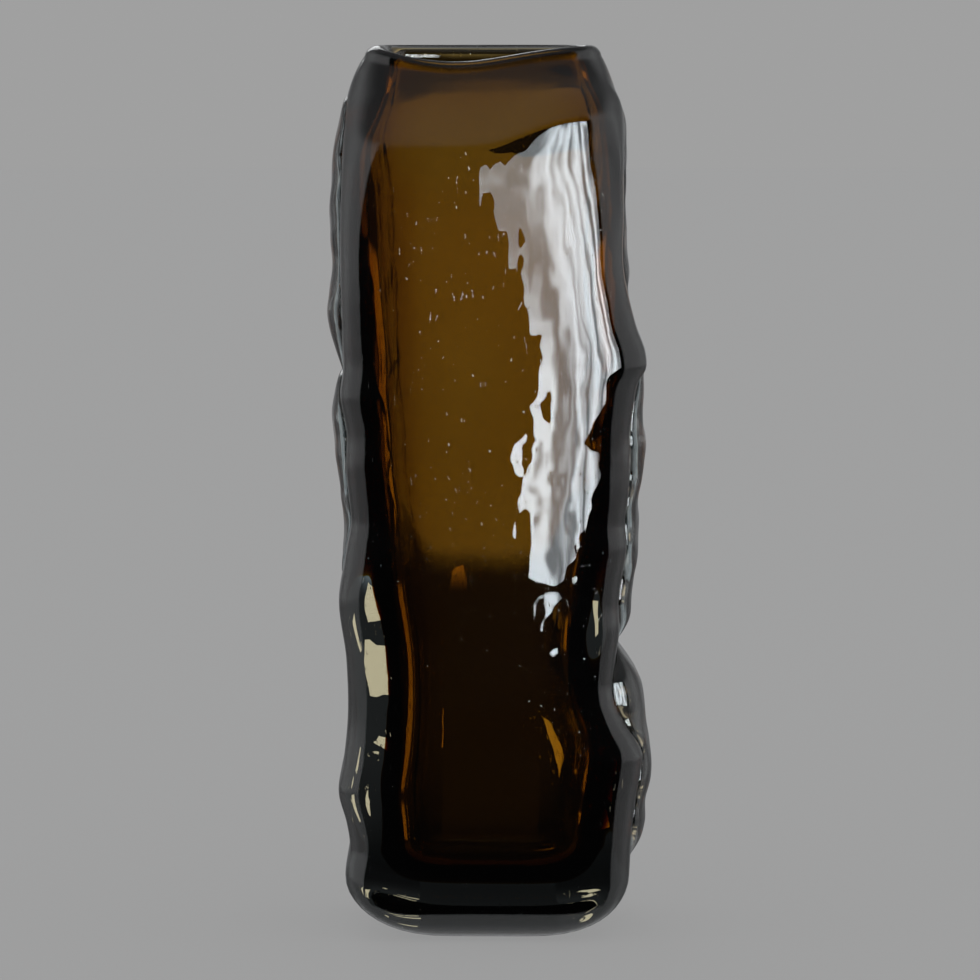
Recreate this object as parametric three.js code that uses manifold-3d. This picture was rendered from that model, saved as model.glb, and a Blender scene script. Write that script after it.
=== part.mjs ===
// A tall, hand blown block vase: an amber bubble cased in thick smoke-grey glass,
// with rough bits of clear glass laid down its two narrow sides.
// Millimetres, +Z up, the wide front face looks along -Y, the foot stands on Z = 0.

import * as THREE from 'three';
import { mergeVertices } from 'three/addons/utils/BufferGeometryUtils.js';
import Module from 'manifold-3d';

const wasm = await Module();
wasm.setup();

// Driving dimensions

const vaseHeight = 250;
const halfWidth = 40;            // of the block, before its edges wave in and out
const halfDepth = 31;
const turns = 48;                // steps around every wall
const cornerCrowding = 0.15;     // brings these steps closer together round the four corners
const footParts = [0, 0.04, 0.16, 0.36, 0.64];  // rings of the foot's rounding, as shares of its height
const bottomParts = [0, 0.06, 0.25, 0.6];      // and of the amber bubble's
const wallRings = 21;            // from the foot to the shoulder
const slopeRings = 6;            // over the shoulder
const bubbleRings = 12;          // of the amber bubble's outside, and one fewer of its hollow
const neckHeights = [224, 231, 238];
const [bitTurns, bitRings] = [26, 12];
const sameCorner = 1e-4;         // corners closer than this are one
const layerGap = 0.3;            // between two layers that touch

const footHalfWidth = 14;        // flat face that it stands on
const footHalfDepth = 20;
const footRise = 17;             // height of the rounding above the foot, at the narrow sides
const footDepthRise = 9;         // and at front and back

const shoulderHeight = 219;      // where front and back start to slope in
const shoulderRise = 5.5;        // its line climbs this much towards the front's right corner,
const [climbFrom, climbTo] = [-2, 26];         // between these two places across
const [climbStart, climbFull] = [200, 226];    // and it sets in and fades between these heights
const [climbFade, climbEnd] = [228, 246];
const outsideTop = 247;          // where the outside meets the rolled lip
const cornerHeight = 226;        // where the narrow sides start to round over
const cornerInset = 9;

const bubbleBottom = 15;         // underside of the amber bubble
const bubbleRise = 7;            // height of the rounding at its bottom
const bubblePull = 0.27;         // share of its width and depth that this rounding takes away
const bubbleShoulder = 216;      // where it starts to narrow towards the mouth
const amberWall = 2.6;
const amberFloor = 4.4;
const mouthHalfWidth = 27.5;
const mouthHalfDepth = 11.5;
const amberEdge = 1.7;           // thickness of the amber's edge in the mouth
const edgeDrop = 1.0;            // how far that edge lies below the crest of the lip
const edgeRound = 0.5;           // and how much lower it is on the hollow's side

const blockSquareness = 7;       // 2 is an ellipse, larger is nearer to a rectangle
const lipSquareness = 2.6;       // the block's corners get rounder between these two heights
const roundingFrom = 190;
const roundingTo = 238;
const bubbleSquareness = 4.2;

// Crest of the lip: how far its outer turn lies below the top, and how far outer turn and
// crest stand in or out of the block's size at its top
const turnDrop = 0.7;
const [turnWiden, turnInset] = [1.0, 0.1];
const [crestNarrow, crestInset] = [0.4, 1.0];
const [turnSquareness, crestSquareness] = [3.0, 3.5];

const lipDip = 4.4;              // the front lip sags left of its middle
const lipDipCentre = -10;
const lipDipReach = 22;
const lipDipStart = 205;         // the height that this sag starts from
const [frontFrom, frontTo] = [2, 14];          // shapes of the front alone set in between these depths

// The broad faces bow in and out: share of the depth and wavelength over 2 pi, upright and across
const [bowUp, bowUpLength, bowUpStart] = [0.012, 27, 0.8];
const [bowAcross, bowAcrossLength, bowLean] = [0.01, 14, 40];

// How far each narrow side stands out at a height: every entry is a swell or a waist.

const leftSwells = [
  [0, 40.6], [20, 40.7], [29, 40.2], [41, 42.7], [62, 40.1], [78, 40.4], [97, 42.4], [117, 39.2],
  [135, 40.4], [153, 41.9], [168, 41.3], [222, 41.9], [250, 39.6],
];
const rightSwells = [
  [0, 39.6], [21, 39.6], [51, 43.0], [70, 34.9], [87, 36.4], [121, 38.9], [136, 39.2],
  [150, 40.4], [162, 43.7], [186, 37.5], [228, 37.4], [250, 33.8],
];

// Half depth of the block over the shoulder

const shoulderDepths = [
  [210, halfDepth], [221, halfDepth], [225, 30.4], [230, 27.4], [238, 22], [243, 18.8], [outsideTop, 16.6],
  [vaseHeight, 15.6],
];

// Reach of the amber bubble's hollow to its left and right at a height, and its half depth

const hollowLefts = [
  [0, 25.0], [20, 25.6], [37, 25.6], [54, 24.8], [66, 24.5], [82, 24.9], [100, 26.8], [115, 28.6],
  [160, 31.6], [bubbleShoulder, 32.4], [236, 28.6], [vaseHeight, mouthHalfWidth],
];
const hollowRights = [
  [0, 25.0], [20, 25.6], [38, 27.6], [54, 28.6], [66, 26.6], [82, 23.8], [100, 26.0], [120, 29.0],
  [160, 32.2], [bubbleShoulder, 32.6], [236, 28.6], [vaseHeight, mouthHalfWidth],
];
const hollowDepths = [
  [0, 19.6], [60, 20.2], [140, 21.8], [212, 21.8], [238, 12.4], [250, mouthHalfDepth],
];

// Rough bits on the narrow sides: the heights each one runs between, half its depth, how far
// back its middle lies, and the swells of its outer face, measured from the vase's middle plane

const bitGap = 0.35;
const bitRoot = 3;               // sunk behind the wall before it is cut
const bitSquareness = 3;
const bitRipple = 0.4;
const [rippleAcross, rippleUp] = [3.1, 5.3];   // wavelengths over 2 pi
const bitLeast = 0.9;            // least that a bit stands proud
const sideBits = [
  {
    name: 'left_side_bit_upper', side: -1, bottom: 160, top: 235, halfDepth: 20, shift: 6,
    swells: [[165, 44.2], [176, 46.2], [188, 44.6], [204, 45.3], [220, 44.2], [235, 41.8]],
  },
  {
    name: 'left_side_bit_lower', side: -1, bottom: 104, top: 159, halfDepth: 21, shift: 5,
    swells: [[106, 41.8], [122, 42.2], [134, 43.9], [146, 44.8], [159, 43.6]],
  },
  {
    name: 'right_side_bit_upper', side: 1, bottom: 179, top: 234, halfDepth: 19, shift: 6,
    swells: [[180, 39.4], [187, 39.7], [200, 38.7], [224, 38.2], [234, 37.4]],
  },
  {
    name: 'right_side_bit_middle', side: 1, bottom: 83, top: 161, halfDepth: 21, shift: 5,
    swells: [[84, 38.9], [98, 40.8], [112, 42.4], [122, 42.1], [138, 44.4], [147, 43.4], [161, 44.6]],
  },
  {
    name: 'right_side_bit_lower', side: 1, bottom: 20, top: 81, halfDepth: 22, shift: 4,
    swells: [[21, 41.5], [34, 44.2], [46, 46.2], [58, 44.6], [68, 43.6], [81, 38.4]],
  },
];

// Helpers

function smooth(from, to, value) {
  return THREE.MathUtils.smoothstep(value, from, to);
}

// Reads a list of [height, value] swells, running smoothly from each one to the next.
function along(swells, height) {
  let last = swells[0];
  for (const next of swells) {
    if (height <= next[0]) {
      return THREE.MathUtils.lerp(last[1], next[1], smooth(last[0], next[0] + 1e-6, height));
    }
    last = next;
  }
  return last[1];
}

// How much further out a point of a circle goes where the circle is squared off
function squaredOff(across, back, square) {
  const span = Math.hypot(across, back);
  return span > 0 ? span / (Math.abs(across) ** square + Math.abs(back) ** square) ** (1 / square) : 1;
}

// A quarter ellipse: 0 at its start, 1 at its end, where it has turned over fully.
function quarter(part) {
  return 1 - Math.sqrt(Math.max(0, 1 - part * part));
}

// Sizes of the block's outside at a height
function blockWidth(height) {
  const footPart = Math.max(0, 1 - height / footRise);
  const cornerPart = Math.max(0, (height - cornerHeight) / (vaseHeight - cornerHeight));
  return halfWidth - (halfWidth - footHalfWidth) * quarter(footPart) - cornerInset * quarter(cornerPart);
}

function blockDepth(height) {
  const footPart = Math.max(0, 1 - height / footDepthRise);
  return along(shoulderDepths, height) - (halfDepth - footHalfDepth) * quarter(footPart);
}

function blockSquare(height) {
  return blockSquareness + (lipSquareness - blockSquareness) * smooth(roundingFrom, roundingTo, height);
}

function blockRing(height, gap = 0) {
  return {
    height,
    width: blockWidth(height) + gap,
    depth: blockDepth(height) + gap,
    square: blockSquare(height),
  };
}

// Mean of the hollow's reach to the left and to the right
function hollowWidth(height) {
  return (along(hollowLefts, height) + along(hollowRights, height)) / 2;
}

// The amber bubble's outside, pushed out by a gap where it is the casing's bore instead
function bubbleRing(height, gap) {
  const part = Math.max(0, 1 - (height - bubbleBottom) / bubbleRise);
  const pull = bubblePull * quarter(part);
  return {
    height: height - gap * part,
    width: (hollowWidth(height) + amberWall) * (1 - pull) + gap,
    depth: (along(hollowDepths, height) + amberWall) * (1 - pull) + gap,
    square: bubbleSquareness,
    lopsided: true,
  };
}

function hollowRing(height) {
  const part = Math.max(0, 1 - (height - bubbleBottom - amberFloor) / bubbleRise);
  const pull = bubblePull * quarter(part);
  return {
    height,
    width: hollowWidth(height) * (1 - pull),
    depth: along(hollowDepths, height) * (1 - pull),
    square: bubbleSquareness,
    lopsided: true,
  };
}

function onAxis(height) {
  return { height, width: 0, depth: 0, square: blockSquareness };
}

function heights(from, to, count) {
  return Array.from({ length: count + 1 }, (_, i) => from + (to - from) * i / count);
}

// How far out the outside of a narrow side stands, before and after the hand has worked it
function wallAt(deep, height) {
  const square = blockSquare(height);
  const across = Math.min(1, Math.abs(deep) / blockDepth(height)) ** square;
  return blockWidth(height) * (1 - across) ** (1 / square);
}

function workedReach(reach, side, height) {
  const swells = side < 0 ? leftSwells : rightSwells;
  const share = (reach / halfWidth) ** 2;
  return reach * (1 + (along(swells, height) / halfWidth - 1) * share);
}

// The hollow is not even: its left and its right wall each go their own way.
function lopsided(x, height) {
  const reach = along(x < 0 ? hollowLefts : hollowRights, height);
  return x * reach / hollowWidth(height);
}

// The hand in it: narrow sides wave in and out, the faces bow a little, the front lip sags and
// the shoulder line climbs to the right. Inner layers follow the waves less than the outside does.
function handmade(point) {
  const front = smooth(frontFrom, frontTo, -point.y);
  const sag = smooth(lipDipStart, vaseHeight, point.z) * front;
  const across = (point.x - lipDipCentre) / lipDipReach;
  const climbHere = smooth(climbStart, climbFull, point.z) * (1 - smooth(climbFade, climbEnd, point.z));
  const climb = smooth(climbFrom, climbTo, point.x) * front * climbHere;
  const bow = 1 + bowUp * Math.sin(point.z / bowUpLength + bowUpStart)
    + bowAcross * Math.sin(point.x / bowAcrossLength + point.z / bowLean);
  point.x = Math.sign(point.x) * workedReach(Math.abs(point.x), Math.sign(point.x), point.z);
  point.y *= bow;
  point.z += shoulderRise * climb - lipDip * sag * Math.exp(-across * across);
  return point;
}

function toSolid(geometry) {
  const vertProperties = new Float32Array(geometry.getAttribute('position').array);
  const triVerts = new Uint32Array(geometry.getIndex().array);
  return new wasm.Manifold(new wasm.Mesh({ numProp: 3, vertProperties, triVerts }));
}

function toGeometry(solid) {
  const mesh = solid.getMesh();
  const geometry = new THREE.BufferGeometry();
  geometry.setAttribute('position', new THREE.BufferAttribute(mesh.vertProperties, 3));
  geometry.setIndex(new THREE.BufferAttribute(mesh.triVerts, 1));
  geometry.computeVertexNormals();
  return geometry;
}

function closedBody(geometry) {
  geometry.deleteAttribute('normal');
  geometry.deleteAttribute('uv');
  const merged = mergeVertices(geometry, sameCorner);
  const corners = merged.getIndex().array;
  const kept = [];
  for (let i = 0; i < corners.length; i += 3) {
    const [a, b, c] = corners.slice(i, i + 3);
    if (a !== b && b !== c && c !== a) {
      kept.push(a, b, c);
    }
  }
  merged.setIndex(kept);
  merged.computeVertexNormals();
  return merged;
}

// A turned wall whose rings are squared off from circles and then worked by hand
function squaredWall(rings) {
  const profile = rings.map((ring) => new THREE.Vector2(ring.width, ring.height));
  const geometry = new THREE.LatheGeometry(profile, turns);
  const place = geometry.getAttribute('position');
  const point = new THREE.Vector3();
  for (let i = 0; i < place.count; i += 1) {
    const ring = rings[i % rings.length];
    const even = 2 * Math.PI * Math.floor(i / rings.length) / turns;
    const turn = even + cornerCrowding * Math.sin(4 * even);
    const across = Math.sin(turn);
    const back = -Math.cos(turn);
    const stretch = squaredOff(across, back, ring.square);
    point.set(ring.width * stretch * across, ring.depth * stretch * back, ring.height);
    if (ring.lopsided) {
      point.x = lopsided(point.x, point.z);
    }
    handmade(point);
    place.setXYZ(i, point.x, point.y, point.z);
  }
  return closedBody(geometry);
}

// The block's outside from its foot to just under the lip
function outsideRings(gap) {
  return [
    onAxis(0),
    ...footParts.map((part) => blockRing(footRise * part, gap)),
    ...heights(footRise, shoulderHeight, wallRings).map((height) => blockRing(height, gap)),
    ...heights(neckHeights[0], outsideTop, slopeRings).map((height) => blockRing(height, gap)),
  ];
}

// Casing: up the outside, over the lip and down the bore that the bubble sits in
function casingGeometry() {
  const topWidth = blockWidth(vaseHeight);
  const topDepth = blockDepth(vaseHeight);
  const crest = [
    { height: vaseHeight - turnDrop, width: topWidth + turnWiden, depth: topDepth - turnInset,
      square: turnSquareness },
    { height: vaseHeight, width: topWidth - crestNarrow, depth: topDepth - crestInset,
      square: crestSquareness },
    { height: vaseHeight - turnDrop, width: mouthHalfWidth + amberEdge + layerGap,
      depth: mouthHalfDepth + amberEdge + layerGap, square: bubbleSquareness, lopsided: true },
  ];
  const bore = bubbleHeights().map((height) => bubbleRing(height, layerGap)).reverse();
  return squaredWall([...outsideRings(0), ...crest, ...bore, onAxis(bubbleBottom - layerGap)]);
}

function bubbleHeights() {
  return [
    ...bottomParts.map((part) => bubbleBottom + bubbleRise * part),
    ...heights(bubbleBottom + bubbleRise, bubbleShoulder, bubbleRings),
    ...neckHeights, outsideTop,
  ];
}

// Amber bubble: up its outside, over its thin edge in the mouth and down to its floor
function bubbleGeometry() {
  const outside = bubbleHeights().map((height) => bubbleRing(height, 0));
  const edge = [
    { height: vaseHeight - edgeDrop, width: mouthHalfWidth + amberEdge, depth: mouthHalfDepth + amberEdge,
      square: bubbleSquareness, lopsided: true },
    { height: vaseHeight - edgeDrop - edgeRound, width: mouthHalfWidth, depth: mouthHalfDepth,
      square: bubbleSquareness, lopsided: true },
  ];
  const floor = bubbleBottom + amberFloor;
  const hollow = [
    ...bottomParts.map((part) => floor + bubbleRise * part),
    ...heights(floor + bubbleRise, bubbleShoulder, bubbleRings - 1),
    ...neckHeights, outsideTop - edgeRound,
  ].map(hollowRing).reverse();
  return squaredWall([onAxis(bubbleBottom), ...outside, ...edge, ...hollow, onAxis(floor)]);
}

// A rough bit: a rippled dome on the narrow side, its back cut to follow the casing there
function bitGeometry(bit) {
  const geometry = new THREE.SphereGeometry(1, bitTurns, bitRings);
  const place = geometry.getAttribute('position');
  for (let i = 0; i < place.count; i += 1) {
    const outward = place.getY(i);
    const [across, up] = [-bit.side * place.getX(i), place.getZ(i)];
    const stretch = squaredOff(across, up, bitSquareness);
    const height = (bit.bottom + bit.top) / 2 + up * stretch * (bit.top - bit.bottom) / 2;
    const narrowing = blockDepth(height) / halfDepth;
    const deep = (bit.shift + across * stretch * bit.halfDepth) * narrowing;
    const wall = workedReach(wallAt(deep, height), bit.side, height);
    const ripple = bitRipple * (Math.sin(deep / rippleAcross + height / rippleUp) - 1);
    const proud = Math.max(along(bit.swells, height) + ripple - wall, bitLeast);
    const lift = outward > 0 ? proud * Math.sqrt(outward) : bitRoot * outward;
    place.setXYZ(i, bit.side * (wall + lift), deep, height);
  }
  return toGeometry(toSolid(closedBody(geometry)).subtract(blockWithGap));
}

const blockWithGap = toSolid(squaredWall([...outsideRings(bitGap), onAxis(vaseHeight)]));

// Glass of each piece

const amberGlass = { color: 0x5e3505, roughness: 0.05, metalness: 0 };
const smokeGlass = { color: 0x343b3d, roughness: 0.04, metalness: 0 };
const clearGlass = { color: 0x8c8a80, roughness: 0.1, metalness: 0 };

function piece(name, geometry, glass) {
  const mesh = new THREE.Mesh(geometry, new THREE.MeshStandardMaterial(glass));
  mesh.name = name;
  return mesh;
}

const vase = new THREE.Group();
vase.name = 'vase';
vase.add(piece('amber_inner_layer', bubbleGeometry(), amberGlass));
vase.add(piece('smoke_casing', casingGeometry(), smokeGlass));
for (const bit of sideBits) {
  vase.add(piece(bit.name, bitGeometry(bit), clearGlass));
}

export default vase;
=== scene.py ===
import math
import bpy
import numpy as np
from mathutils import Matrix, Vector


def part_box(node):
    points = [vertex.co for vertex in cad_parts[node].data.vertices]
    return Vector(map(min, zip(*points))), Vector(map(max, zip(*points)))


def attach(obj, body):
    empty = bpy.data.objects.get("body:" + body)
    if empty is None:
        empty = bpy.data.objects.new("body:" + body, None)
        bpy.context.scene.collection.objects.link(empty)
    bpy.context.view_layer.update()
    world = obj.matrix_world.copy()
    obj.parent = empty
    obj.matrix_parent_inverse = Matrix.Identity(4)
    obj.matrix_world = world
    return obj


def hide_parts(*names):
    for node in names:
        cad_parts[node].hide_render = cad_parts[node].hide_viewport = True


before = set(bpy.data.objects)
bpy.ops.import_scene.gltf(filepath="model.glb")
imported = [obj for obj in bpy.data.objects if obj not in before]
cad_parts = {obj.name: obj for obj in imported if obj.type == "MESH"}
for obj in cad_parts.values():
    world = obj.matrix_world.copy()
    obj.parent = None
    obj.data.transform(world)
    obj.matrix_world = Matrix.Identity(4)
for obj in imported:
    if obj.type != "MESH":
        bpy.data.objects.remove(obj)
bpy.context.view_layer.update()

casingLow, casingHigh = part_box("smoke_casing")
vaseHeight = casingHigh[2] - casingLow[2]
designHeight = 250
mm = vaseHeight / designHeight  # one millimetre of the design, in metres of this frame


def along(swells, height):
    # reads [height, value] pairs as one smooth curve through them all
    hs = np.array([s[0] for s in swells], float)
    vs = np.array([s[1] for s in swells], float)
    slopes = np.gradient(vs, hs)
    i = np.clip(np.searchsorted(hs, height) - 1, 0, len(hs) - 2)
    gap = hs[i + 1] - hs[i]
    t = np.clip((height - hs[i]) / gap, 0, 1)
    a, b = (1 + 2 * t) * (1 - t) ** 2, t * t * (3 - 2 * t)
    c, d = t * (1 - t) ** 2, t * t * (t - 1)
    return a * vs[i] + b * vs[i + 1] + gap * (c * slopes[i] + d * slopes[i + 1])


def smooth(low, high, value):
    t = np.clip((value - low) / (high - low), 0, 1)
    return t * t * (3 - 2 * t)


def quarter(part):
    # quarter of a round: 0 where it starts to turn, 1 where it has turned fully over
    return 1 - np.sqrt(np.clip(1 - np.clip(part, 0, 1) ** 2, 0, 1))


waveMix = {
    "count": 9, "goldenAngle": 2.399963, "fullTurn": 6.283, "shortest": 0.7, "spread": 0.6,
    "lengthStep": 0.618, "lengthSeed": 0.37, "phaseStep": 0.7548, "phaseSeed": 0.569, "calm": 1.2,
}


def ripples(u, v, wavelength, seed):
    # sum of long crested waves in many directions, between about -1 and 1
    total = 0
    for i in range(waveMix["count"]):
        angle = waveMix["goldenAngle"] * (i + 1) + seed
        share = (i * waveMix["lengthStep"] + seed * waveMix["lengthSeed"]) % 1
        length = wavelength * (waveMix["shortest"] + waveMix["spread"] * share)
        phase = waveMix["fullTurn"] * ((i * waveMix["phaseStep"] + seed * waveMix["phaseSeed"]) % 1)
        reach = u * math.cos(angle) + v * math.sin(angle)
        total = total + np.sin(waveMix["fullTurn"] / length * reach + phase)
    return total / math.sqrt(waveMix["count"]) / waveMix["calm"]


def makePiece(name, points, faces, smoothShade=True):
    mesh = bpy.data.meshes.new(name)
    mesh.from_pydata([tuple(p) for p in points], [], faces)
    mesh.validate()
    mesh.polygons.foreach_set("use_smooth", [smoothShade] * len(mesh.polygons))
    mesh.update()
    piece = bpy.data.objects.new(name, mesh)
    bpy.context.scene.collection.objects.link(piece)
    return piece


# the block and how the hand has worked it, in design millimetres: [height, value] lists run upward
block = {
    "halfWidth": 40, "halfDepth": 31, "squareness": 7,
    "footHalfWidth": 14, "footHalfDepth": 20, "footRise": 17, "footDepthRise": 9,
    "shoulder": [[210, 31], [221, 31], [225, 30.4], [230, 27.4], [238, 22], [243, 18.8], [247, 16.6],
                 [250, 15.6]],
    "corner": 226, "cornerInset": 9, "outsideTop": 247, "top": designHeight,
    "topSquareness": 2.6, "roundingFrom": 190, "roundingTo": 238,
    "turns": 288, "step": 1.1, "cornerCrowding": 0.15, "footShares": (0.3, 0.6, 0.85), "footRings": 12,
    "leftEdge": [
        [0, 40.4], [19, 40.8], [26, 39.7], [32, 40.6], [40.4, 42.8], [50, 41.3], [61, 40.2], [78, 40.5],
        [96.6, 42.5], [105, 41.2], [110, 40.4], [117, 39.2], [124, 39.7], [132, 40.5], [143, 40.4],
        [153, 42.0], [160, 41.2], [168, 41.4], [185, 41.9], [205, 42.0], [221, 41.7], [230, 41.3],
        [240, 40.6], [250, 39.4],
    ],
    "rightEdge": [
        [0, 39.4], [18, 39.5], [30, 40.3], [39, 41.4], [46, 42.5], [51.7, 43.1], [56, 41.4], [61, 38.3],
        [66, 35.8], [71, 34.9], [78, 35.4], [87, 36.5], [95, 36.3], [103, 37.4], [110, 38.5], [117, 38.0],
        [124, 38.9], [134, 39.4], [143, 39.4], [151, 40.5], [156, 41.4], [160.5, 43.8], [164, 43.7],
        [172, 41.0], [180, 38.9], [187, 37.5], [205, 37.4], [228, 37.5], [241, 35.4], [250, 33.6],
    ],
    "frontFrom": 2, "frontTo": 14,
    "lipDip": 4.4, "lipDipCentre": -10, "lipDipReach": 22, "lipDipStart": 205,
    "climb": 5.5, "climbFrom": -2, "climbTo": 26,
    "climbStart": 200, "climbFull": 226, "climbFade": 228, "climbEnd": 246,
    "bowUp": 0.012, "bowUpLength": 27, "bowUpStart": 0.8,
    "bowAcross": 0.01, "bowAcrossLength": 14, "bowLean": 40,
}


def blockWidth(h):
    foot = quarter(1 - h / block["footRise"])
    corner = quarter((h - block["corner"]) / (block["top"] - block["corner"]))
    return (block["halfWidth"] - (block["halfWidth"] - block["footHalfWidth"]) * foot
            - block["cornerInset"] * corner)


def blockDepth(h):
    foot = quarter(1 - h / block["footDepthRise"])
    shoulder = along(block["shoulder"], h)
    return shoulder - (block["halfDepth"] - block["footHalfDepth"]) * foot


def blockSquare(h):
    # the corners are rounder towards the mouth
    rounder = smooth(block["roundingFrom"], block["roundingTo"], h)
    return block["squareness"] + (block["topSquareness"] - block["squareness"]) * rounder


def workedReach(reach, side, h):
    edge = np.where(side < 0, along(block["leftEdge"], h), along(block["rightEdge"], h))
    share = (reach / block["halfWidth"]) ** 2
    return reach * (1 + (edge / block["halfWidth"] - 1) * share)


def handmade(x, y, z):
    # narrow sides wave in and out and the faces bow a little; the front lip sags left of its
    # middle and the front shoulder line climbs to the right
    front = smooth(block["frontFrom"], block["frontTo"], -y)
    across = (x - block["lipDipCentre"]) / block["lipDipReach"]
    sag = block["lipDip"] * smooth(block["lipDipStart"], block["top"], z) * front * np.exp(-across ** 2)
    climb = block["climb"] * smooth(block["climbFrom"], block["climbTo"], x) * front
    climb = climb * smooth(block["climbStart"], block["climbFull"], z)
    climb = climb * (1 - smooth(block["climbFade"], block["climbEnd"], z))
    bow = block["bowUp"] * np.sin(z / block["bowUpLength"] + block["bowUpStart"])
    bow = bow + block["bowAcross"] * np.sin(x / block["bowAcrossLength"] + z / block["bowLean"])
    return np.sign(x) * workedReach(np.abs(x), x, z), y * (1 + bow), z + climb - sag


# the front face turns a little to the right from this line on; the line leans with height
faceTurn = {
    "line": [[0, 16], [81, 15], [92, 12], [105, 10], [118, 9], [136, 5], [150, 7], [165, 5], [184, -3],
             [200, -9], [226, -17], [250, -17]],
    "rightRadius": 290, "leftRadius": 1000, "backRadius": 2000,
    "faceFrom": 20, "faceTo": 29, "footFrom": 6, "footTo": 22, "shoulderFrom": 214, "shoulderTo": 236,
    "edgeFrom": 34, "edgeTo": 41,
    "longWave": 0.05, "longLength": 34,
    "midWave": 0.02, "midLength": 9, "fineWave": 0.009, "fineLength": 4.2,
    "chillHeight": 131, "chillAcross": 12, "chillTall": 17, "chillWide": 9,
    "chillWave": 0.022, "chillLength": 4.6,
}


def workFaces(x, y, z):
    # bow and waviness of the broad front and back faces, fading out round the edges and at the foot
    flat = smooth(faceTurn["faceFrom"], faceTurn["faceTo"], np.abs(y))
    flat = flat * smooth(faceTurn["footFrom"], faceTurn["footTo"], z)
    flat = flat * (1 - smooth(faceTurn["shoulderFrom"], faceTurn["shoulderTo"], z))
    edge = 1 - smooth(faceTurn["edgeFrom"], faceTurn["edgeTo"], np.abs(x))
    line = along(faceTurn["line"], z)
    away = x - line
    radius = np.where(away > 0, faceTurn["rightRadius"], faceTurn["leftRadius"])
    setBack = away ** 2 / (2 * radius)
    wave = faceTurn["longWave"] * ripples(x, z, faceTurn["longLength"], 1.3)
    wave = wave + faceTurn["midWave"] * edge * ripples(x * 1.3, z * 0.55, faceTurn["midLength"], 2.1)
    wave = wave + faceTurn["fineWave"] * edge * ripples(x, z * 0.8, faceTurn["fineLength"], 4.4)
    # one patch that the mould chilled is crinkled more than the rest
    up = (z - faceTurn["chillHeight"]) / faceTurn["chillTall"]
    aside = (x - faceTurn["chillAcross"]) / faceTurn["chillWide"]
    chill = np.exp(-up ** 2 - aside ** 2) * ripples(x, z, faceTurn["chillLength"], 5.7)
    wave = wave + faceTurn["chillWave"] * chill
    push = np.where(y < 0, setBack + wave, -away ** 2 / (2 * faceTurn["backRadius"]) - wave)
    return x, y + push * flat, z


def ringGrid(rings, turns):
    # squares each turned ring off and places it, as (ring, turn) grids in design millimetres
    even = 2 * np.pi * np.arange(turns) / turns
    angle = even + block["cornerCrowding"] * np.sin(4 * even)  # more points round the corners
    across, back = np.sin(angle)[None, :], -np.cos(angle)[None, :]
    h, w, d, n = [np.array([ring[k] for ring in rings], float)[:, None] for k in range(4)]
    stretch = (np.abs(across) ** n + np.abs(back) ** n) ** (-1 / n)
    return w * stretch * across, d * stretch * back, h + 0 * across


def closedWall(name, x, y, z):
    # skins the rings one after another and closes both ends
    rings, turns = x.shape
    points = np.stack([x, y, z], -1).reshape(-1, 3) * mm
    faces = []
    for i in range(rings - 1):
        for j in range(turns):
            k = (j + 1) % turns
            faces.append((i * turns + j, i * turns + k, (i + 1) * turns + k, (i + 1) * turns + j))
    first, last = len(points), len(points) + 1
    ends = np.stack([points[:turns].mean(0), points[-turns:].mean(0)])
    base = (rings - 1) * turns
    for j in range(turns):
        k = (j + 1) % turns
        faces.append((first, k, j))
        faces.append((last, base + j, base + k))
    return makePiece(name, np.concatenate([points, ends]), faces)


def blockRing(h):
    return (h, float(blockWidth(h)), float(blockDepth(h)), float(blockSquare(h)))


def steps(low, high, step):
    count = max(2, int(round((high - low) / step)))
    return [low + (high - low) * i / count for i in range(count + 1)]


def outsideRings():
    rise = block["footRise"]
    rings = [(0, block["footHalfWidth"] * share, block["footHalfDepth"] * share, block["squareness"])
             for share in block["footShares"]]
    count = block["footRings"]
    rings += [blockRing(rise * (1 - math.cos(math.pi / 2 * i / count))) for i in range(count)]
    rings += [blockRing(h) for h in steps(rise, block["outsideTop"], block["step"])]
    return rings


lip = {"crestRings": 10, "outDrop": 3.0, "inDrop": 4.0}


def lipRings():
    # rolls from the outside over the crest to the inner edge as one half round
    start = blockRing(block["outsideTop"])[1:]
    end = (bubble["mouthHalfWidth"], bubble["mouthHalfDepth"], bubble["squareness"])
    rings = []
    for i in range(1, lip["crestRings"]):
        turn = math.pi * i / lip["crestRings"]
        part = (1 - math.cos(turn)) / 2
        low = lip["outDrop"] * (1 - part) + lip["inDrop"] * part
        sizes = [a + (b - a) * part for a, b in zip(start, end)]
        rings.append((block["top"] - low + low * math.sin(turn), *sizes))
    return rings


bubble = {
    "bottom": 15, "rise": 7, "pull": 0.27, "wall": 2.6, "floor": 4.4, "squareness": 4.2,
    "mouthHalfWidth": 27.5, "mouthHalfDepth": 11.5,
    "lefts": [[0, 25.0], [20, 25.6], [37, 25.6], [54, 24.8], [66, 24.5], [82, 24.9], [100, 26.8], [115, 28.6],
              [160, 31.6], [216, 32.4], [236, 28.6], [250, 27.5]],
    "rights": [[0, 25.0], [20, 25.6], [38, 27.6], [54, 28.6], [66, 26.6], [82, 23.8], [100, 26.0],
               [120, 29.0], [160, 32.2], [216, 32.6], [236, 28.6], [250, 27.5]],
    "depths": [[0, 19.6], [60, 20.2], [140, 21.8], [212, 21.8], [238, 12.4], [250, 11.5]],
    "skin": 0.12, "turns": 192, "step": 1.8, "hollowTop": 246,
    "bottomShares": (0.35, 0.7), "bottomRings": 9, "skinFade": 8,
    "lipWall": 0.3, "lipWallFrom": 222, "lipWallTo": 244,
    "rim": [[247.4, 2.7], [248.5, 2.3], [249.0, 1.8], [248.7, 1.3], [248.0, 0.8], [247.0, 0.4]],
}


def meanWidth(h):
    return (along(bubble["lefts"], h) + along(bubble["rights"], h)) / 2


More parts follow.
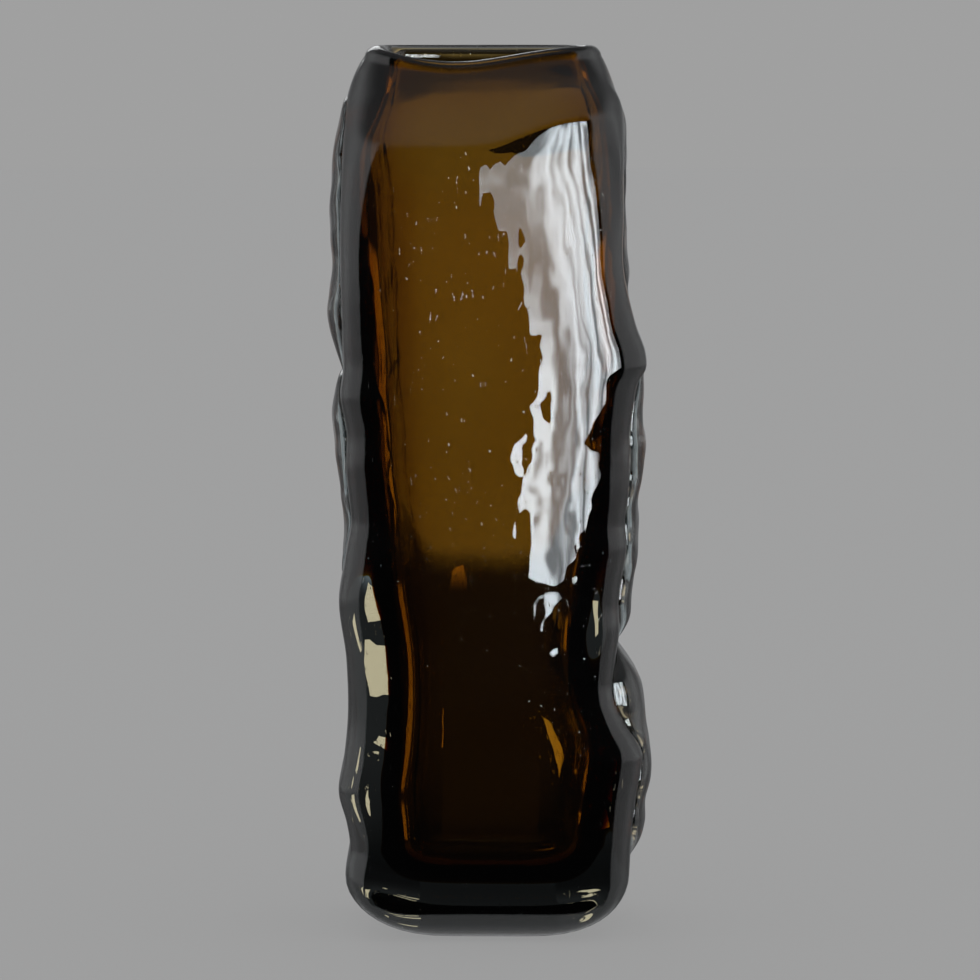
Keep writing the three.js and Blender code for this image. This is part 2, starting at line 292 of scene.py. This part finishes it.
def lopsided(x, y, z):
    # the hollow is not even: its left and its right wall each go their own way
    own = np.where(x < 0, along(bubble["lefts"], z), along(bubble["rights"], z))
    return x * own / meanWidth(z), y, z


def hollowRing(h, grow=0.0, lift=0.0):
    floor = bubble["bottom"] + bubble["floor"]
    pull = bubble["pull"] * float(quarter(1 - (h - floor) / bubble["rise"]))
    return (h + lift, (float(meanWidth(h)) + grow) * (1 - pull),
            (float(along(bubble["depths"], h)) + grow) * (1 - pull), bubble["squareness"])


def bubbleRing(h, wall):
    pull = bubble["pull"] * float(quarter(1 - (h - bubble["bottom"]) / bubble["rise"]))
    return (h, (float(meanWidth(h)) + wall) * (1 - pull),
            (float(along(bubble["depths"], h)) + wall) * (1 - pull), bubble["squareness"])


def bubbleBottomHeights(start):
    count = bubble["bottomRings"]
    return [start + bubble["rise"] * (1 - math.cos(math.pi / 2 * i / count)) for i in range(count)]


def withBottom(rings):
    # smaller rings that close the bottom off flat
    h, width, depth, square = rings[0]
    return [(h, width * share, depth * share, square) for share in bubble["bottomShares"]] + rings


# upright folds of the hollow's wall: how deep, how many round, and how they sway as they rise
folds = {
    "deep": 0.30, "count": 9, "sway": 0.8, "swayLength": 31,
    "fineDeep": 0.16, "fineCount": 21, "fineTwist": 60,
    "uneven": 0.06, "unevenRound": 25, "unevenLength": 40,
    "floorFrom": 14, "floorTo": 40, "neckFrom": 216, "neckTo": 240, "neckFade": 0.7,
}


def innerWaves(x, y, z):
    # the blowing leaves these folds, most of them at the hollow's two narrow sides
    spread = np.hypot(x, y) + 1e-6
    angle = np.arctan2(y, x)
    sway = folds["sway"] * np.sin(z / folds["swayLength"])
    fold = folds["deep"] * np.sin(folds["count"] * angle + sway)
    fold = fold + folds["fineDeep"] * np.sin(folds["fineCount"] * angle + z / folds["fineTwist"])
    fold = fold * np.abs(np.cos(angle)) ** 4
    fold = fold + folds["uneven"] * ripples(angle * folds["unevenRound"], z, folds["unevenLength"], 3.3)
    fade = smooth(folds["floorFrom"], folds["floorTo"], z)
    fade = fade * (1 - folds["neckFade"] * smooth(folds["neckFrom"], folds["neckTo"], z))
    scale = 1 + fold * fade / spread
    return x * scale, y * scale, z


def hollowGrid(grow, turns):
    # the hollow's wall from its floor up, or, grown by a skin, the face of the colour behind it
    floor = bubble["bottom"] + bubble["floor"]
    hs = bubbleBottomHeights(floor) + steps(floor + bubble["rise"], bubble["hollowTop"], bubble["step"])
    lifts = [-grow * float(1 - smooth(floor, floor + bubble["skinFade"], h)) for h in hs]
    rings = withBottom([hollowRing(h, grow, lift) for h, lift in zip(hs, lifts)])
    x, y, z = ringGrid(rings, turns)
    return innerWaves(*lopsided(x, y, z))


sideBits = {
    "left_side_bit_upper": {
        "side": -1, "bottom": 158, "top": 236, "halfDepth": 20, "shift": 6, "seed": 1.7,
        "swells": [[158, 42.5], [165, 44.0], [171, 45.6], [176, 46.2], [181, 45.6], [187, 44.5], [195, 45.0],
                   [204, 45.3], [214, 44.9], [222, 43.9], [230, 42.4], [236, 41.5]],
    },
    "left_side_bit_lower": {
        "side": -1, "bottom": 101, "top": 159, "halfDepth": 21, "shift": 5, "seed": 3.1,
        "swells": [[101, 41.6], [109, 41.9], [116, 41.7], [124, 42.4], [131, 43.6], [139, 44.1], [146, 44.8],
                   [153, 44.0], [159, 43.4]],
    },
    "right_side_bit_upper": {
        "side": 1, "bottom": 179, "top": 235, "halfDepth": 19, "shift": 6, "seed": 4.9,
        "swells": [[179, 38.8], [186, 39.7], [193, 38.9], [205, 38.4], [220, 38.2], [228, 37.8], [235, 36.8]],
    },
    "right_side_bit_middle": {
        "side": 1, "bottom": 82, "top": 162, "halfDepth": 21, "shift": 5, "seed": 2.3,
        "swells": [[82, 37.8], [88, 40.0], [95, 40.6], [102, 41.4], [109, 42.2], [115, 42.3], [121, 42.0],
                   [128, 43.1], [133, 43.8], [138, 44.4], [143, 43.6], [148, 43.4], [155, 44.2], [162, 43.6]],
    },
    "right_side_bit_lower": {
        "side": 1, "bottom": 19, "top": 81, "halfDepth": 22, "shift": 4, "seed": 0.6,
        "swells": [[19, 39.8], [24, 42.6], [30, 44.1], [37, 44.6], [43, 46.0], [48, 46.1], [53, 45.4],
                   [59, 44.5], [66, 43.9], [72, 42.4], [76, 40.4], [81, 37.4]],
    },
}
bitMake = {
    "across": 64, "stepUp": 0.75, "root": 0.35, "squareness": 3.4, "least": 0.8, "belly": 0.0028,
    "crinkle": 0.16, "crinkleLength": 15, "creaseLength": 31.5, "crease": 0.8,
    "wander": 0.07, "wanderLength": 4.7, "fineWander": 0.05, "fineWanderLength": 2.3,
}


def makeBit(name, bit):
    # a rippled patch of glass: its outer skin stands off the wall, its back lies just inside it
    rows = int((bit["top"] - bit["bottom"]) / bitMake["stepUp"])
    cols = bitMake["across"]
    u = np.linspace(-1, 1, cols)[None, :]
    v = np.linspace(-1, 1, rows)[:, None]
    n = bitMake["squareness"]
    z = (bit["bottom"] + bit["top"]) / 2 + v * (bit["top"] - bit["bottom"]) / 2 + 0 * u
    # the patch is a rounded rectangle: rows get shorter towards its ends, and its outline wanders
    ends = np.clip(1 - np.abs(v) ** n, 0.0, 1) ** (1 / n)
    wander = 1 + bitMake["wander"] * np.sin(z / bitMake["wanderLength"] + bit["seed"])
    wander = wander + bitMake["fineWander"] * np.sin(z / bitMake["fineWanderLength"] + 2 * bit["seed"])
    narrowing = blockDepth(z) / block["halfDepth"]
    deep = (bit["shift"] + u * bit["halfDepth"] * np.maximum(ends, 0.08) * wander) * narrowing
    square = blockSquare(z)
    across = np.clip((np.abs(deep) / blockDepth(z)) ** square, 0, 0.999)
    wall = blockWidth(z) * (1 - across) ** (1 / square)
    wall = workedReach(wall, bit["side"], z)
    crinkle = ripples(deep * 0.8, z * 1.25, bitMake["crinkleLength"], bit["seed"])
    crease = 1 - np.abs(ripples(deep * 0.5, z * 1.3, bitMake["creaseLength"], bit["seed"] + 2)) * 1.6
    bark = bitMake["crinkle"] * (crinkle + bitMake["crease"] * crease - 1.0)
    proud = along(bit["swells"], z) - wall - bitMake["belly"] * deep ** 2
    fade = np.sqrt(np.clip(1 - np.abs(u) ** 6, 0, 1) * np.clip(1 - np.abs(v) ** 8, 0, 1))
    lift = np.maximum((np.maximum(proud, bitMake["least"]) + bark) * fade, 0.0)
    outer = np.stack([bit["side"] * (wall + lift), deep, z], -1)
    inner = np.stack([bit["side"] * (wall - bitMake["root"]), deep, z], -1)
    points = np.concatenate([outer.reshape(-1, 3), inner.reshape(-1, 3)]) * mm
    under = rows * cols
    faces = []
    for i in range(rows - 1):
        for j in range(cols - 1):
            a = i * cols + j
            faces.append((a, a + 1, a + cols + 1, a + cols))
            faces.append((under + a + cols, under + a + cols + 1, under + a + 1, under + a))
    # the wall round the patch joins its skin to its back
    rim = [j for j in range(cols - 1)] + [i * cols + cols - 1 for i in range(rows - 1)]
    rim += [(rows - 1) * cols + j for j in range(cols - 1, 0, -1)]
    rim += [i * cols for i in range(rows - 1, 0, -1)]
    for a, b in zip(rim, rim[1:] + rim[:1]):
        faces.append((b, a, under + a, under + b))
    if bit["side"] < 0:
        faces = [f[::-1] for f in faces]
    piece = makePiece(name + "_glass", points, faces)
    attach(piece, "root")
    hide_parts(name)
    return piece


marks = {
    "smearDetail": 3.0, "smearFrom": 0.5, "smearTo": 0.72,
    "lean": (0.2, 0.5, 0.3), "stretch": (1300, 1300, 420), "scratchFrom": 0.77, "scratchTo": 0.82,
}


def markGroup():
    # what handling leaves on glass: faint smears and fine scratches, as a roughness and a height
    group = bpy.data.node_groups.new("handlingMarks", "ShaderNodeTree")
    for socket, value in (("Smear Scale", 30.0), ("Smear", 0.02), ("Scratch", 0.3), ("Base Roughness", 0.0)):
        made = group.interface.new_socket(socket, in_out="INPUT", socket_type="NodeSocketFloat")
        made.default_value = value
    group.interface.new_socket("Roughness", in_out="OUTPUT", socket_type="NodeSocketFloat")
    group.interface.new_socket("Height", in_out="OUTPUT", socket_type="NodeSocketFloat")
    nodes, links = group.nodes, group.links
    given, out = nodes.new("NodeGroupInput"), nodes.new("NodeGroupOutput")
    place = nodes.new("ShaderNodeTexCoord")
    smear = nodes.new("ShaderNodeTexNoise")
    smear.inputs["Detail"].default_value = marks["smearDetail"]
    links.new(place.outputs["Object"], smear.inputs["Vector"])
    links.new(given.outputs["Smear Scale"], smear.inputs["Scale"])
    patch = nodes.new("ShaderNodeMapRange")
    patch.inputs["From Min"].default_value = marks["smearFrom"]
    patch.inputs["From Max"].default_value = marks["smearTo"]
    links.new(smear.outputs["Fac"], patch.inputs["Value"])
    amount = nodes.new("ShaderNodeMath")
    amount.operation = "MULTIPLY_ADD"
    links.new(patch.outputs["Result"], amount.inputs[0])
    links.new(given.outputs["Smear"], amount.inputs[1])
    links.new(given.outputs["Base Roughness"], amount.inputs[2])
    links.new(amount.outputs[0], out.inputs["Roughness"])
    stretch = nodes.new("ShaderNodeMapping")
    stretch.inputs["Rotation"].default_value = marks["lean"]
    stretch.inputs["Scale"].default_value = marks["stretch"]
    links.new(place.outputs["Object"], stretch.inputs["Vector"])
    scratch = nodes.new("ShaderNodeTexNoise")
    scratch.inputs["Scale"].default_value = 1.0
    scratch.inputs["Detail"].default_value = 0.0
    links.new(stretch.outputs["Vector"], scratch.inputs["Vector"])
    line = nodes.new("ShaderNodeMapRange")
    line.inputs["From Min"].default_value = marks["scratchFrom"]
    line.inputs["From Max"].default_value = marks["scratchTo"]
    links.new(scratch.outputs["Fac"], line.inputs["Value"])
    depth = nodes.new("ShaderNodeMath")
    depth.operation = "MULTIPLY"
    links.new(line.outputs["Result"], depth.inputs[0])
    links.new(given.outputs["Scratch"], depth.inputs[1])
    links.new(depth.outputs[0], out.inputs["Height"])
    return group


handlingMarks = markGroup()


def glassMaterial(name, look):
    mat = bpy.data.materials.new(name)
    mat.use_nodes = True
    nodes, links = mat.node_tree.nodes, mat.node_tree.links
    shader = nodes["Principled BSDF"]
    out = nodes["Material Output"]
    shader.inputs["Base Color"].default_value = (*look["tint"], 1)
    shader.inputs["Metallic"].default_value = 0.0
    shader.inputs["Transmission Weight"].default_value = 1.0
    shader.inputs["IOR"].default_value = look["ior"]
    soak = nodes.new("ShaderNodeVolumeAbsorption")
    strongest = max(look["absorb"])
    soak.inputs["Density"].default_value = strongest * 1.02
    soak.inputs["Color"].default_value = (*[1 - a / (strongest * 1.02) for a in look["absorb"]], 1)
    links.new(soak.outputs["Volume"], out.inputs["Volume"])
    if look["marks"]:
        worn = nodes.new("ShaderNodeGroup")
        worn.node_tree = handlingMarks
        for socket, value in look["marks"].items():
            worn.inputs[socket].default_value = value
        links.new(worn.outputs["Roughness"], shader.inputs["Roughness"])
        bump = nodes.new("ShaderNodeBump")
        bump.inputs["Strength"].default_value = look["bump"]
        bump.inputs["Distance"].default_value = 0.0002
        links.new(worn.outputs["Height"], bump.inputs["Height"])
        links.new(bump.outputs["Normal"], shader.inputs["Normal"])
    else:
        shader.inputs["Roughness"].default_value = 0.0
    return mat


# absorb is what a metre of the glass takes from red, green and blue
glassLooks = {
    "smokeGlass": {"tint": (1, 1, 1), "ior": 1.5, "absorb": (20, 16, 15), "bump": 0.25,
                   "marks": {"Smear Scale": 34.0, "Smear": 0.03, "Scratch": 0.6, "Base Roughness": 0.0}},
    "amberGlass": {"tint": (1, 1, 1), "ior": 1.0, "absorb": (260, 440, 1000), "bump": 0.0, "marks": None},
    "clearGlass": {"tint": (1, 1, 1), "ior": 1.5, "absorb": (10, 9, 10), "bump": 0.2,
                   "marks": {"Smear Scale": 60.0, "Smear": 0.05, "Scratch": 0.4, "Base Roughness": 0.01}},
}
glasses = {name: glassMaterial(name, look) for name, look in glassLooks.items()}


def makeCasing():
    x, y, z = ringGrid(outsideRings(), block["turns"])
    outside = workFaces(*handmade(x, y, z))
    crest = handmade(*ringGrid(lipRings(), block["turns"]))
    x, y, z = hollowGrid(0.0, block["turns"])
    inside = handmade(x[::-1], y[::-1], z[::-1])
    wall = [np.concatenate(parts) for parts in zip(outside, crest, inside)]
    piece = closedWall("smoke_casing_glass", *wall)
    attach(piece, "root")
    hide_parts("smoke_casing")
    piece.data.materials.append(glasses["smokeGlass"])


def makeBubble():
    # the colour sits just under the polished skin of the hollow
    wallStart = bubble["bottom"] + bubble["rise"]
    hs = bubbleBottomHeights(bubble["bottom"]) + steps(wallStart, bubble["hollowTop"], bubble["step"])
    extra = [bubble["lipWall"] * float(smooth(bubble["lipWallFrom"], bubble["lipWallTo"], h)) for h in hs]
    rings = withBottom([bubbleRing(h, bubble["wall"] + more) for h, more in zip(hs, extra)])
    rings += [bubbleRing(h, wall) for h, wall in bubble["rim"]]
    outside = lopsided(*ringGrid(rings, bubble["turns"]))
    x, y, z = hollowGrid(bubble["skin"], bubble["turns"])
    inside = (x[::-1], y[::-1], z[::-1])
    wall = handmade(*[np.concatenate(parts) for parts in zip(outside, inside)])
    piece = closedWall("amber_inner_layer_glass", *wall)
    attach(piece, "root")
    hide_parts("amber_inner_layer")
    piece.data.materials.append(glasses["amberGlass"])


makeCasing()
print("casing made")
makeBubble()
print("amber bubble made")
for bitName, bitShape in sideBits.items():
    makeBit(bitName, bitShape).data.materials.append(glasses["clearGlass"])
print("side bits made")


# the room round the vase, by direction: a turn of 0 looks to the front and 180 to the back;
# "Through" is what the glass shows of it, "Gloss" what its outer skin mirrors
studio = {
    "grey": (0.352, 0.352, 0.352), "softLight": 0.5, "tint": (0.97, 0.985, 1.0),
    "floorHalf": 6.0, "floorTone": 0.12, "floorGlow": 0.80, "floorDrop": 0.0002,
    "frontThrough": 0.05, "sidesThrough": 0.06, "behindThrough": 0.5, "belowThrough": 0.115,
    "topThrough": 0.6,
    "sidesStart": (28, 48), "behindStart": (128, 148), "belowEnd": (-34, -22), "topStart": (42, 60),
    "glint": 1.3, "glintTurn": (92, 128), "glintUp": (-18, -3), "glintSoft": 2,
    "frontGloss": 0.03, "sidesGloss": 1.1, "behindGloss": 0.26, "belowGloss": 0.6, "topGloss": 0.3,
    "sidesGlossStart": (52, 57), "behindGlossStart": (100, 150), "belowGlossEnd": (-34, -24),
    "topGlossStart": (25, 50), "horizon": (-9, -4), "underHorizon": 0.6,
    "lamp": 2.2, "lampTurn": (-178, -150), "lampUp": (14, 44), "lampSoft": 3,
}


# writes shader arithmetic as ordinary calls
class nodeMaths:
    def __init__(self, tree):
        self.tree = tree

    def do(self, operation, *values):
        node = self.tree.nodes.new("ShaderNodeMath")
        node.operation = operation
        for socket, value in zip(node.inputs, values):
            if isinstance(value, (int, float)):
                socket.default_value = value
            else:
                self.tree.links.new(value, socket)
        return node.outputs[0]

    def ramp(self, value, low, high, fromValue=0.0, toValue=1.0):
        node = self.tree.nodes.new("ShaderNodeMapRange")
        node.interpolation_type = "SMOOTHSTEP"
        self.tree.links.new(value, node.inputs["Value"])
        node.inputs["From Min"].default_value = low
        node.inputs["From Max"].default_value = high
        node.inputs["To Min"].default_value = fromValue
        node.inputs["To Max"].default_value = toValue
        return node.outputs["Result"]

    def mix(self, share, first, second):
        node = self.tree.nodes.new("ShaderNodeMix")
        for socket, value in zip(node.inputs[0:1] + node.inputs[2:4], (share, first, second)):
            if isinstance(value, (int, float)):
                socket.default_value = value
            else:
                self.tree.links.new(value, socket)
        return node.outputs[0]

    def both(self, *masks):
        product = masks[0]
        for mask in masks[1:]:
            product = self.do("MULTIPLY", product, mask)
        return product


def lampPatch(m, turn, elevation, turns, ups, soft):
    # 1 inside a patch of directions, fading out round it
    return m.both(m.ramp(turn, turns[0] - soft, turns[0] + soft),
                  m.ramp(turn, turns[1] - soft, turns[1] + soft, 1.0, 0.0),
                  m.ramp(elevation, ups[0] - soft, ups[0] + soft),
                  m.ramp(elevation, ups[1] - soft, ups[1] + soft, 1.0, 0.0))


def makeSurroundings():
    world = bpy.data.worlds.new("studioWorld")
    bpy.context.scene.world = world
    world.use_nodes = True
    tree = world.node_tree
    tree.nodes.clear()
    m = nodeMaths(tree)
    place = tree.nodes.new("ShaderNodeTexCoord")
    split = tree.nodes.new("ShaderNodeSeparateXYZ")
    tree.links.new(place.outputs["Generated"], split.inputs[0])
    dx, dy, dz = split.outputs
    path = tree.nodes.new("ShaderNodeLightPath")
    degrees = 180 / math.pi
    azimuth = m.do("MULTIPLY", m.do("ARCTAN2", dx, m.do("MULTIPLY", dy, -1.0)), degrees)
    turn = m.do("ABSOLUTE", azimuth)
    elevation = m.do("MULTIPLY", m.do("ARCSINE", dz), degrees)
    isThrough = path.outputs["Is Transmission Ray"]
    glint = lampPatch(m, turn, elevation, studio["glintTurn"], studio["glintUp"], studio["glintSoft"])
    sides = m.do("ADD", studio["sidesThrough"], m.do("MULTIPLY", glint, studio["glint"]))
    through = m.mix(m.ramp(turn, *studio["sidesStart"]), studio["frontThrough"], sides)
    through = m.mix(m.ramp(turn, *studio["behindStart"]), through, studio["behindThrough"])
    through = m.mix(m.ramp(elevation, *studio["belowEnd"]), studio["belowThrough"], through)
    through = m.mix(m.ramp(elevation, *studio["topStart"]), through, studio["topThrough"])
    gloss = m.mix(m.ramp(turn, *studio["sidesGlossStart"]), studio["frontGloss"], studio["sidesGloss"])
    gloss = m.mix(m.ramp(turn, *studio["behindGlossStart"]), gloss, studio["behindGloss"])
    gloss = m.do("MULTIPLY", gloss, m.ramp(elevation, *studio["horizon"], studio["underHorizon"], 1.0))
    gloss = m.mix(m.ramp(elevation, *studio["belowGlossEnd"]), studio["belowGloss"], gloss)
    gloss = m.mix(m.ramp(elevation, *studio["topGlossStart"]), gloss, studio["topGloss"])
    lamp = lampPatch(m, azimuth, elevation, studio["lampTurn"], studio["lampUp"], studio["lampSoft"])
    gloss = m.do("ADD", gloss, m.do("MULTIPLY", lamp, studio["lamp"]))
    level = m.mix(isThrough, gloss, through)
    level = m.mix(path.outputs["Is Diffuse Ray"], level, studio["softLight"])
    lit = tree.nodes.new("ShaderNodeBackground")
    tree.links.new(level, lit.inputs["Strength"])
    lit.inputs["Color"].default_value = (*studio["tint"], 1)
    seen = tree.nodes.new("ShaderNodeBackground")
    seen.inputs["Color"].default_value = (*studio["grey"], 1)
    mix = tree.nodes.new("ShaderNodeMixShader")
    tree.links.new(path.outputs["Is Camera Ray"], mix.inputs[0])
    tree.links.new(lit.outputs[0], mix.inputs[1])
    tree.links.new(seen.outputs[0], mix.inputs[2])
    out = tree.nodes.new("ShaderNodeOutputWorld")
    tree.links.new(mix.outputs[0], out.inputs["Surface"])


def makeFloor():
    half = studio["floorHalf"]
    corners = [(-half, -half, 0), (half, -half, 0), (half, half, 0), (-half, half, 0)]
    floor = makePiece("floor", corners, [(0, 1, 2, 3)], False)
    mat = bpy.data.materials.new("paleFloor")
    mat.use_nodes = True
    shader = mat.node_tree.nodes["Principled BSDF"]
    shader.inputs["Base Color"].default_value = (*[studio["floorTone"]] * 3, 1)
    shader.inputs["Roughness"].default_value = 0.9
    shader.inputs["Specular IOR Level"].default_value = 0.0
    shader.inputs["Emission Color"].default_value = (*studio["grey"], 1)
    shader.inputs["Emission Strength"].default_value = studio["floorGlow"]
    floor.data.materials.append(mat)
    floor.location.z = -studio["floorDrop"]
    floor.visible_transmission = False
    floor.visible_glossy = False


# upright reflectors, in metres: "lows" is the height of the lower edge, as [share across, height]
cards = {
    "windowCard": {
        "from": (0.045, -0.55), "to": (0.32, -0.30),
        "lows": [[0, 0.0385], [0.2, 0.056], [0.5, 0.075], [1, 0.12]], "high": 0.36,
        "light": 15.0, "colour": (0.87, 0.95, 1.0), "inGlass": False, "inGloss": True,
        "foldsAcross": 30.0, "foldsUp": 3.5, "foldTone": (0.36, 0.62, 0.22, 1.2),
    },
    "darkCard": {
        "from": (-0.35, 0.13), "to": (0.35, 0.13), "lows": [[0, -0.15], [1, -0.15]],
        "high": 0.0855, "soft": 0.006, "light": 0.035, "lowLight": 0.006,
        "colour": (1.0, 0.9, 0.85), "inGlass": True, "inGloss": False,
    },
    "nearDarkCard": {
        "from": (-0.0187, 0.049), "to": (0.0187, 0.049), "lows": [[0, -0.15], [1, -0.15]],
        "high": 0.0945, "soft": 0.006, "light": 0.035, "lowLight": 0.006,
        "colour": (1.0, 0.9, 0.85), "inGlass": True, "inGloss": False,
    },
    "mouthCard": {
        "from": (-0.06, 0.05), "to": (0.06, 0.05), "lows": [[0, 0.2305], [1, 0.2305]],
        "high": 0.24, "soft": 0.002, "light": 0.02, "lowLight": 0.02,
        "colour": (1.0, 1.0, 1.0), "inGlass": True, "inGloss": False,
    },
}


darkCardRise = (-0.01, 0.035)  # over these heights the dark cards go from their lowLight to their light


def makeCard(name, card):
    # an upright card that is seen only in the glass, as studio reflectors are
    (x0, y0), (x1, y1) = card["from"], card["to"]
    high = card["high"] + card.get("soft", 0)
    edge = [(x0 + (x1 - x0) * t, y0 + (y1 - y0) * t) for t, low in card["lows"]]
    points = [(x, y, low) for (x, y), (t, low) in zip(edge, card["lows"])]
    points += [(x, y, high) for x, y in edge]
    n = len(edge)
    piece = makePiece(name, points, [(i, i + 1, n + i + 1, n + i) for i in range(n - 1)], False)
    mat = bpy.data.materials.new(name)
    mat.use_nodes = True
    tree = mat.node_tree
    tree.nodes.clear()
    m = nodeMaths(tree)
    glow = tree.nodes.new("ShaderNodeEmission")
    glow.inputs["Color"].default_value = (*card["colour"], 1)
    glow.inputs["Strength"].default_value = card["light"]
    out = tree.nodes.new("ShaderNodeOutputMaterial")
    place = tree.nodes.new("ShaderNodeTexCoord")
    split = tree.nodes.new("ShaderNodeSeparateXYZ")
    tree.links.new(place.outputs["Object"], split.inputs[0])
    if "soft" in card:
        clear = tree.nodes.new("ShaderNodeBsdfTransparent")
        blend = tree.nodes.new("ShaderNodeMixShader")
        upperEdge = m.ramp(split.outputs[2], card["high"] - card["soft"], card["high"] + card["soft"])
        light = m.ramp(split.outputs[2], *darkCardRise, card["lowLight"], card["light"])
        tree.links.new(light, glow.inputs["Strength"])
        tree.links.new(upperEdge, blend.inputs[0])
        tree.links.new(glow.outputs[0], blend.inputs[1])
        tree.links.new(clear.outputs[0], blend.inputs[2])
        tree.links.new(blend.outputs[0], out.inputs["Surface"])
    else:
        # soft upright folds of a curtain
        folds = tree.nodes.new("ShaderNodeTexNoise")
        folds.inputs["Scale"].default_value = 1.0
        folds.inputs["Detail"].default_value = 1.0
        join = tree.nodes.new("ShaderNodeCombineXYZ")
        tree.links.new(m.do("MULTIPLY", split.outputs[0], card["foldsAcross"]), join.inputs[0])
        tree.links.new(m.do("MULTIPLY", split.outputs[2], card["foldsUp"]), join.inputs[1])
        tree.links.new(join.outputs[0], folds.inputs["Vector"])
        tone = m.ramp(folds.outputs["Fac"], *card["foldTone"])
        tree.links.new(m.do("MULTIPLY", tone, card["light"]), glow.inputs["Strength"])
        tree.links.new(glow.outputs[0], out.inputs["Surface"])
    piece.data.materials.append(mat)
    piece.visible_camera = False
    piece.visible_diffuse = False
    piece.visible_transmission = card["inGlass"]
    piece.visible_glossy = card["inGloss"]
    piece.visible_shadow = False


# slits of daylight between the cards behind, as outlines in metres (across, up)
gleamPlane = 0.125
gleamGrain = {"scale": 260.0, "tone": (0.35, 0.6, 0.35, 1.0)}
gleams = {
    "beigeGleams": {"light": 2.0, "colour": (1.0, 0.72, 0.45), "outlines": [
        [(-0.0091, 0.0845), (-0.0124, 0.0834), (-0.0150, 0.0790), (-0.0175, 0.0762), (-0.0085, 0.0745),
         (-0.0075, 0.079)],
        [(-0.0025, 0.0695), (-0.0075, 0.069), (-0.012, 0.0665), (-0.029, 0.0625), (-0.029, 0.0505),
         (-0.004, 0.0485), (0.0, 0.055), (0.002, 0.0615)],
        [(-0.009, 0.033), (-0.0125, 0.0355), (-0.022, 0.0345), (-0.030, 0.041), (-0.030, 0.0295),
         (-0.02, 0.0295)],
        [(0.006, 0.028), (0.0115, 0.027), (0.010, 0.0165), (0.0055, 0.0165)],
        [(-0.0105, 0.0168), (-0.0087, 0.0186), (-0.0070, 0.0168), (-0.0087, 0.0150)],
        [(0.0065, 0.078), (0.0115, 0.0775), (0.009, 0.070), (0.007, 0.066), (0.004, 0.067),
         (0.0055, 0.072)],
        [(0.0115, 0.014), (0.009, 0.0135), (0.0055, 0.0085), (0.0165, 0.0062), (0.017, 0.0085),
         (0.0125, 0.011)],
        [(0.0109, 0.020), (0.0121, 0.0212), (0.0133, 0.020), (0.0121, 0.0188)],
    ]},
    "paleGleams": {"light": 2.0, "colour": (1.0, 1.0, 0.9), "outlines": [
        [(0.030, 0.040), (0.045, 0.041), (0.062, 0.030), (0.085, 0.016), (0.066, 0.012), (0.048, 0.022)],
    ]},
}


def makeGleams(name, gleam):
    points, faces = [], []
    for outline in gleam["outlines"]:
        faces.append(list(range(len(points), len(points) + len(outline))))
        points += [(x, gleamPlane, z) for x, z in outline]
    piece = makePiece(name, points, faces, False)
    mat = bpy.data.materials.new(name)
    mat.use_nodes = True
    tree = mat.node_tree
    tree.nodes.clear()
    m = nodeMaths(tree)
    glow = tree.nodes.new("ShaderNodeEmission")
    glow.inputs["Color"].default_value = (*gleam["colour"], 1)
    grain = tree.nodes.new("ShaderNodeTexNoise")
    grain.inputs["Scale"].default_value = gleamGrain["scale"]
    tone = m.ramp(grain.outputs["Fac"], *gleamGrain["tone"])
    tree.links.new(m.do("MULTIPLY", tone, gleam["light"]), glow.inputs["Strength"])
    out = tree.nodes.new("ShaderNodeOutputMaterial")
    tree.links.new(glow.outputs[0], out.inputs["Surface"])
    piece.data.materials.append(mat)
    piece.visible_camera = False
    piece.visible_diffuse = False
    piece.visible_glossy = False
    piece.visible_shadow = False


makeSurroundings()
makeFloor()
for gleamName, gleam in gleams.items():
    makeGleams(gleamName, gleam)
for cardName, cardShape in cards.items():
    makeCard(cardName, cardShape)

camera = {"distance": 1.3, "height": 0.262, "aim": 0.1243, "frameWidth": 0.2782}


def makeCamera():
    data = bpy.data.cameras.new("camera")
    eye = bpy.data.objects.new("camera", data)
    bpy.context.scene.collection.objects.link(eye)
    rise = camera["height"] - camera["aim"]
    away = math.hypot(camera["distance"], rise)
    eye.location = (0, -camera["distance"], camera["height"])
    eye.rotation_euler = (math.pi / 2 - math.atan2(rise, camera["distance"]), 0, 0)
    data.lens = data.sensor_width * away / camera["frameWidth"]
    data.clip_start = 0.05
    bpy.context.scene.camera = eye


makeCamera()
scene = bpy.context.scene
scene.view_settings.view_transform = "Standard"
scene.cycles.max_bounces = 24
scene.cycles.transmission_bounces = 24
scene.cycles.glossy_bounces = 8
print("stage and camera made")
